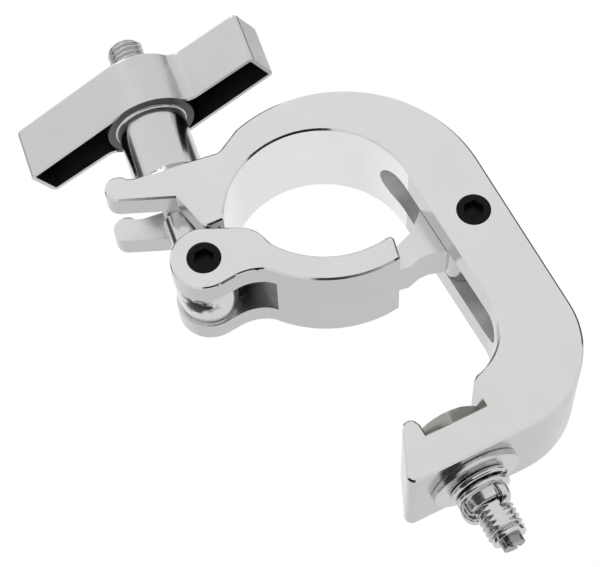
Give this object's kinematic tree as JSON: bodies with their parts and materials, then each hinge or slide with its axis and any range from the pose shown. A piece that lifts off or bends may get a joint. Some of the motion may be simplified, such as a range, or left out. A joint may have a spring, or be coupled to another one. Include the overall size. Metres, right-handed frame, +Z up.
{
  "type": "pipe clamp",
  "caption": "Polished hook clamp for a round pipe: a hinged jaw is drawn up by a swing bolt with a T-handle, and a threaded bolt with a wing nut below carries the load.",
  "frame": {"origin": "centre of the 51 mm pipe seat, at the middle of the clamp's width", "axes": "+Y along the pipe, from the front face to the back; +X towards the straight leg, away from the swing bolt; +Z up, away from the load bolt"},
  "size_m": [0.1048, 0.0358, 0.1787],
  "materials": {
    "alloy": "polished extrusion, faces sawn and buffed",
    "plated_steel": "bright zinc plate",
    "black_steel": "black oxide, satin",
    "dark_steel": "dark plated steel"
  },
  "bodies": {
    "hook": {"hook_body": "alloy", "jaw_pivot_screw": "black_steel", "jaw_pivot_barrel": "plated_steel", "load_bolt": "plated_steel", "bolt_end_disc": "plated_steel", "retaining_screw": "dark_steel"},
    "jaw": {"jaw_arm": "alloy", "eyebolt_pivot_screw": "black_steel", "eyebolt_pivot_barrel": "plated_steel"},
    "swing_bolt": {"eye_bolt": "plated_steel"},
    "handle_carrier": {"thrust_washer": "plated_steel"},
    "handle": {"t_handle": "alloy"},
    "washers": {"flat_washer": "plated_steel", "spring_washer": "plated_steel"},
    "nut": {"wing_nut": "plated_steel"}
  },
  "joints": [
    {"name": "jaw_open", "type": "hinge", "parent": "hook", "child": "jaw", "pos_m": [0.0356, 0, -0.017], "axis": [0, -1, 0], "range_deg": [0, 23]},
    {"name": "bolt_swing", "type": "hinge", "parent": "jaw", "child": "swing_bolt", "pos_m": [-0.0326, 0, 0.0027], "axis": [0, -1, 0], "range_deg": [0, 100]},
    {"name": "handle_travel", "type": "slide", "parent": "swing_bolt", "child": "handle_carrier", "axis": [0.1374, 0, 0.9905], "range_m": [0, 0.042]},
    {"name": "handle_spin", "type": "hinge", "parent": "handle_carrier", "child": "handle", "pos_m": [-0.0326, 0, 0.0027], "axis": [0.1374, 0, 0.9905], "range_deg": [0, 10080]},
    {"name": "washer_travel", "type": "slide", "parent": "hook", "child": "washers", "axis": [0, 0, -1], "range_m": [0, 0.006]},
    {"name": "wing_nut_spin", "type": "hinge", "parent": "washers", "child": "nut", "pos_m": [0.00355, 0, -0.0765], "axis": [0, 0, -1], "range_deg": [0, 1440]}
  ],
  "couplings": [
    {"joint": "jaw_open", "follows": "bolt_swing", "ratio": 0.23},
    {"joint": "handle_travel", "follows": "bolt_swing", "m_per_rad": 0.024064},
    {"joint": "handle_spin", "follows": "bolt_swing", "ratio": 100.8},
    {"joint": "washer_travel", "follows": "wing_nut_spin", "m_per_rad": 0.00023873}
  ]
}
